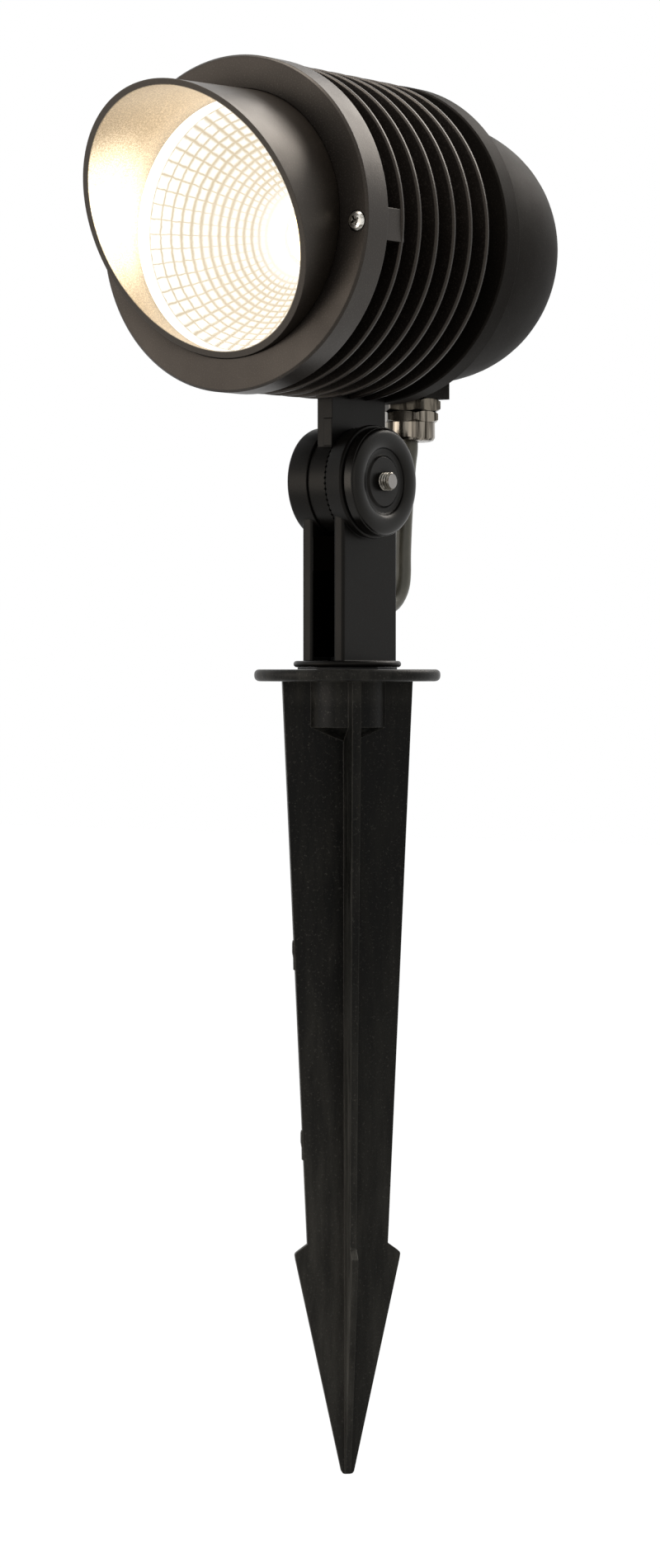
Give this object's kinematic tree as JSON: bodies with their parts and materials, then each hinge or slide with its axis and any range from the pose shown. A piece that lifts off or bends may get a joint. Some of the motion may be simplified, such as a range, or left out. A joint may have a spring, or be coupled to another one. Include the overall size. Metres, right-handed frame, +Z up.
{
  "type": "garden spike spotlight",
  "caption": "Finned garden spotlight with a slanted hood, tilting on a toothed hinge in a fork that swivels in a cross-bladed ground spike with a round flange.",
  "frame": {"origin": "on the spike's axis in the plane of the flange's underside, where the soil's surface meets it", "axes": "+Z up along the spike's axis; -Y the way the lamp shines; X along the hinge bolt, its bare end towards +X"},
  "size_m": [0.1064, 0.1777, 0.457],
  "materials": {
    "powder_coat": "cast aluminium with a fine-textured black powder coat",
    "hood_coat": "aluminium sleeve with a satin black powder coat",
    "spike_plastic": "moulded black plastic",
    "glass": "clear toughened glass",
    "silicone": "white silicone",
    "black_rubber": "matte black rubber",
    "bowl": "metallised faceted plastic",
    "holder_plastic": "white heat-proof plastic",
    "board": "yellow light source on a pale board",
    "pad": "grey thermal pad",
    "steel": "stainless steel",
    "nickel": "nickel-plated brass",
    "driver_case": "potted plastic case",
    "cable": "black rubber sheath",
    "wire_red": "red sheath",
    "wire_black": "black sheath"
  },
  "bodies": {
    "spike": {"spike": "spike_plastic", "set_screw": "steel", "seat_washer": "black_rubber"},
    "fork": {"fork": "powder_coat", "hinge_bolt": "steel", "clamp_disc": "powder_coat", "cable_grommet": "black_rubber", "terminal_block": "holder_plastic", "lead": "cable"},
    "head": {"hood": "hood_coat", "bezel_ring": "powder_coat", "bezel_screws": "steel", "glass_gasket": "silicone", "glass_lens": "glass", "reflector": "bowl", "board_holder": "holder_plastic", "holder_screws": "steel", "light_board": "board", "thermal_pad": "pad", "heat_sink": "powder_coat", "housing_gasket": "black_rubber", "rear_housing": "powder_coat", "housing_screws": "steel", "driver": "driver_case", "driver_screws": "steel", "wire_plus": "wire_red", "wire_minus": "wire_black", "gland_body": "nickel", "gland_seal": "black_rubber", "gland_nut": "nickel", "tongue": "powder_coat", "tongue_screws": "steel"}
  },
  "joints": [
    {"name": "swivel", "type": "hinge", "parent": "spike", "child": "fork", "pos_m": [0, 0, 0], "axis": [0, 0, 1], "range_deg": [-170, 170]},
    {"name": "head_tilt", "type": "hinge", "parent": "fork", "child": "head", "pos_m": [0, 0, 0.065], "axis": [-1, 0, 0], "range_deg": [-30, 48], "deforming": ["lead"]}
  ]
}
